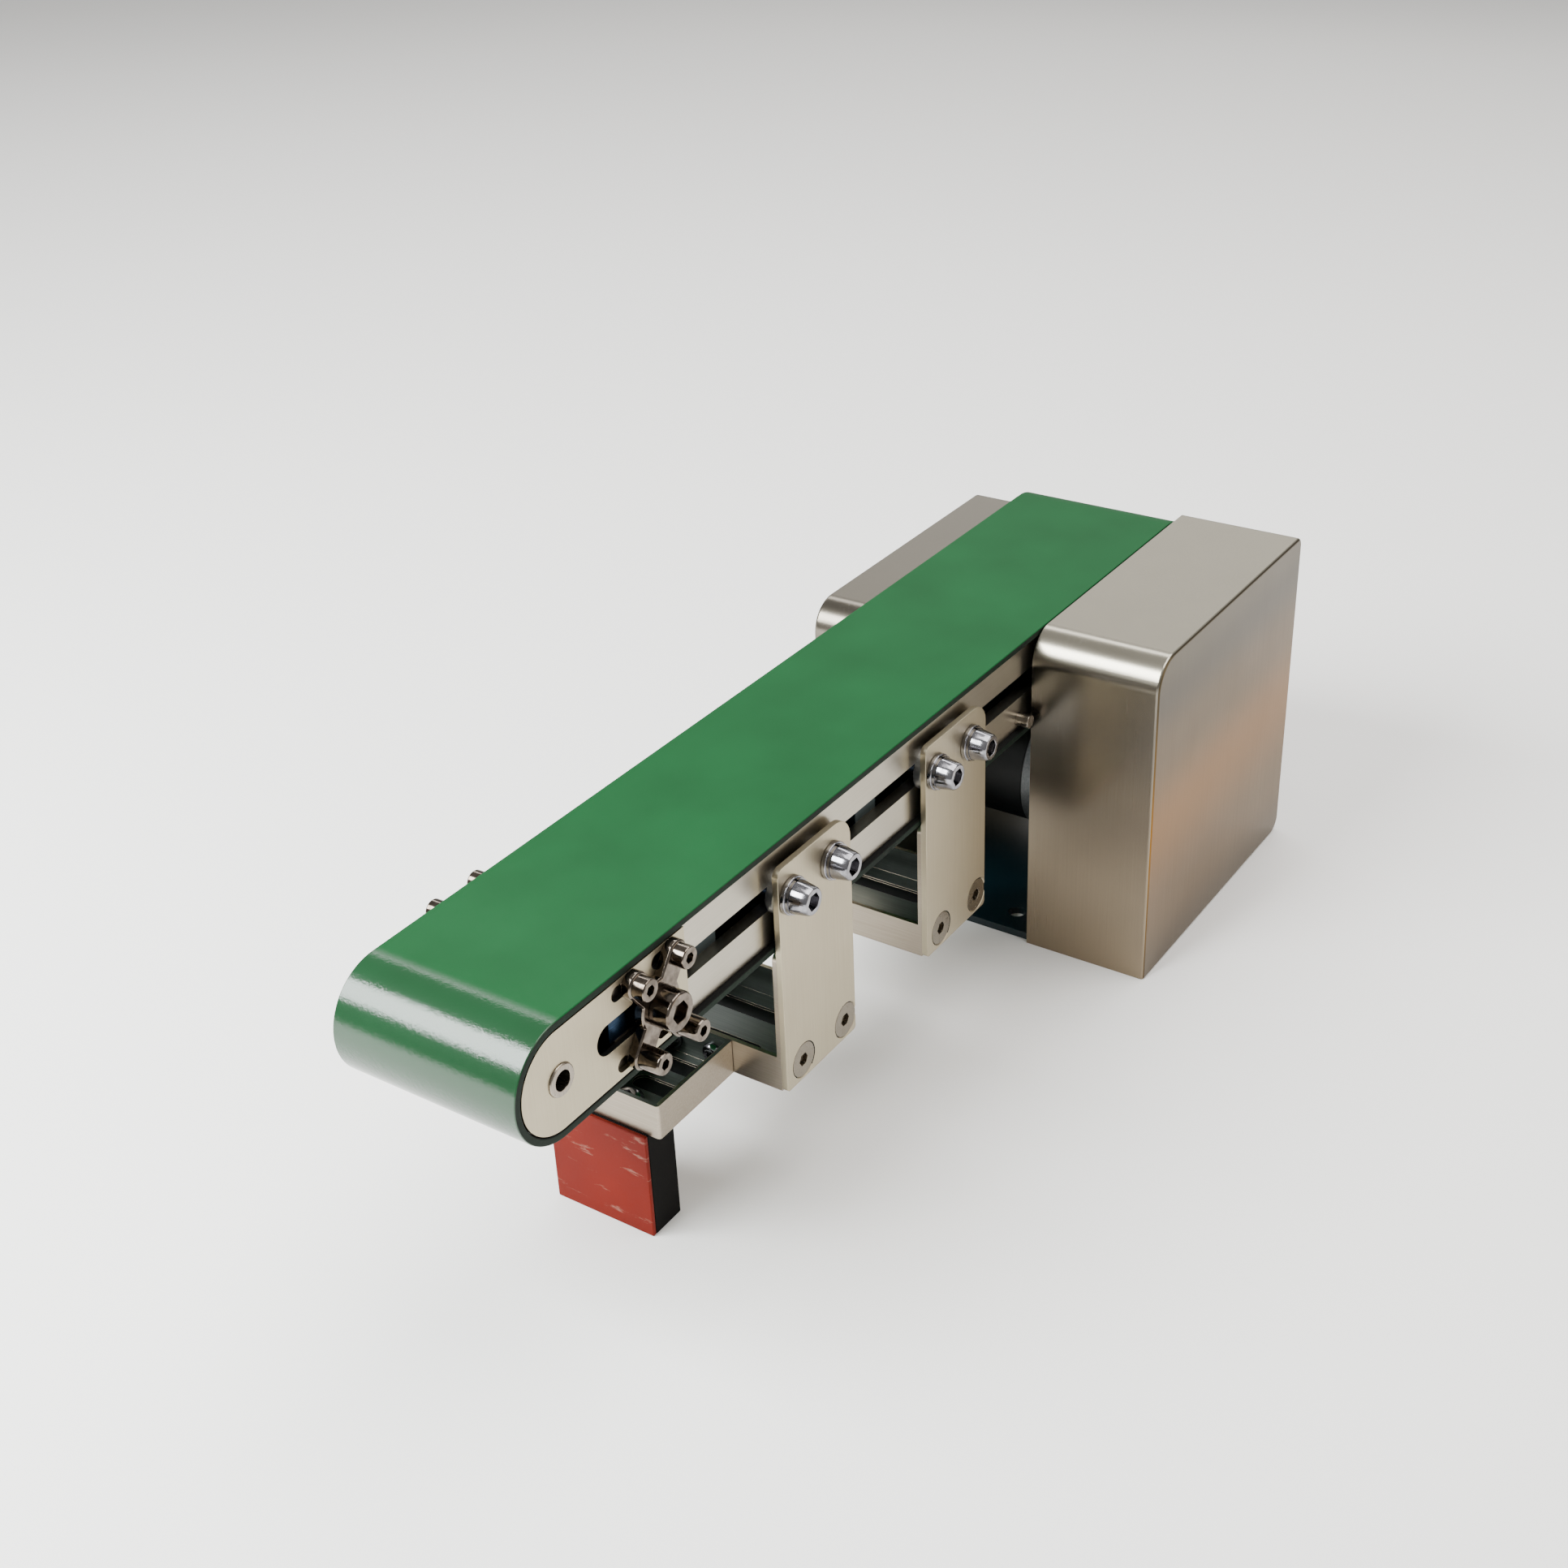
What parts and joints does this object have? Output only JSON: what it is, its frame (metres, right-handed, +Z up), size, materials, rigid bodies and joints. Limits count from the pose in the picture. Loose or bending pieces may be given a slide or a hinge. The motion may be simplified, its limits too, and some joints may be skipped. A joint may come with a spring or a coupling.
{
  "type": "belt conveyor section",
  "caption": "Short flat-belt conveyor section: slotted side rails between a clamped nose roller and a motor drive housing, hung on bracket plates with open cross trays.",
  "frame": {"origin": "centre of the drive housing's base on the belt's centreline, on the surface it stands on", "axes": "+X from the nose roller towards the drive housing, +Y to the left side seen from the nose, +Z up"},
  "size_m": [0.4114, 0.1404, 0.129],
  "materials": {
    "belt": "satin green belt",
    "bed_steel": "brushed sheet",
    "alloy": "machined",
    "bright_steel": "turned and ground",
    "stainless": "brushed stainless sheet",
    "roller_alloy": "turned",
    "bearing_steel": "ground",
    "blued_steel": "blue-black oxide",
    "chrome": "polished plate",
    "bright_screws": "polished",
    "tray_steel": "dull folded sheet",
    "block_black": "matte",
    "block_red": "matte red",
    "dark_paint": "dark satin paint",
    "cover_steel": "brushed stainless sheet",
    "black_plastic": "moulded",
    "black_rubber": "matt",
    "gearbox_metal": "die cast",
    "motor_paint": "black paint"
  },
  "bodies": {
    "frame": {"base_plate": "dark_paint", "bracket_foot_screws": "stainless", "bracket_nut_plates": "blued_steel", "bracket_screws": "bright_screws", "bracket_spacers": "alloy", "bracket_spring_washers": "bright_screws", "bracket_washers": "bright_screws", "cable_gland": "black_plastic", "centre_beam": "dark_paint", "conveyor_belt": "belt", "cover_blocks": "alloy", "cover_screws": "bright_screws", "drive_bearing": "bearing_steel", "drive_bush": "bearing_steel", "foot_angle_screws": "bright_screws", "foot_angles": "alloy", "front_cross_tray": "tray_steel", "front_left_bracket": "stainless", "front_right_bracket": "stainless", "front_support_block": "block_black", "gearbox": "gearbox_metal", "left_cover": "cover_steel", "left_lower_rail": "stainless", "left_nose_clamp": "chrome", "left_side_plate": "stainless", "left_upper_rail": "stainless", "motor_body": "motor_paint", "motor_screws": "bright_screws", "nose_clamp_screws": "chrome", "rail_cross_blocks": "dark_paint", "rail_end_screws": "bright_screws", "rail_end_spacers": "alloy", "rail_stop_studs": "bright_steel", "rear_cross_tray": "tray_steel", "rear_left_bracket": "stainless", "rear_right_bracket": "stainless", "right_cover": "cover_steel", "right_lower_rail": "stainless", "right_nose_clamp": "chrome", "right_side_plate": "stainless", "right_upper_rail": "stainless", "slider_bed": "bed_steel", "spine_channel": "tray_steel", "spine_screws": "bright_screws", "support_block_face": "block_red", "support_block_screw": "bright_screws", "tension_nut_blocks": "blued_steel", "timing_belt": "black_rubber"},
    "nose_frame": {"right_nose_plate": "stainless", "left_nose_plate": "stainless", "nose_axle": "bright_steel"},
    "nose_roller": {"nose_roller": "roller_alloy", "nose_bearings": "bearing_steel"},
    "drive_roller": {"drive_roller": "roller_alloy", "drive_shaft": "bright_steel", "driven_pulley": "alloy"},
    "motor_shaft": {"motor_output_shaft": "bright_steel", "motor_pulley": "alloy"},
    "right_clamp_screw": {"right_clamp_screw": "chrome"},
    "left_clamp_screw": {"left_clamp_screw": "chrome"}
  },
  "joints": [
    {"name": "belt_tension_slide", "type": "slide", "parent": "frame", "child": "nose_frame", "axis": [1, 0, 0], "range_m": [0, 0.006]},
    {"name": "nose_roller_spin", "type": "hinge", "parent": "nose_frame", "child": "nose_roller", "pos_m": [-0.325, 0, 0.1103], "axis": [0, 1, 0], "continuous": true},
    {"name": "drive_roller_spin", "type": "hinge", "parent": "frame", "child": "drive_roller", "pos_m": [0.049, 0, 0.1103], "axis": [0, 1, 0], "continuous": true},
    {"name": "motor_shaft_spin", "type": "hinge", "parent": "frame", "child": "motor_shaft", "pos_m": [0.008, -0.045, 0.038], "axis": [0, 1, 0], "continuous": true},
    {"name": "right_clamp_screw_turn", "type": "hinge", "parent": "frame", "child": "right_clamp_screw", "pos_m": [-0.2845, -0.035, 0.1103], "axis": [0, -1, 0], "range_deg": [0, 180]},
    {"name": "left_clamp_screw_turn", "type": "hinge", "parent": "frame", "child": "left_clamp_screw", "pos_m": [-0.2845, 0.035, 0.1103], "axis": [0, 1, 0], "range_deg": [0, 180]}
  ],
  "couplings": [
    {"joint": "nose_roller_spin", "follows": "drive_roller_spin", "ratio": 1},
    {"joint": "motor_shaft_spin", "follows": "drive_roller_spin", "ratio": 1}
  ]
}
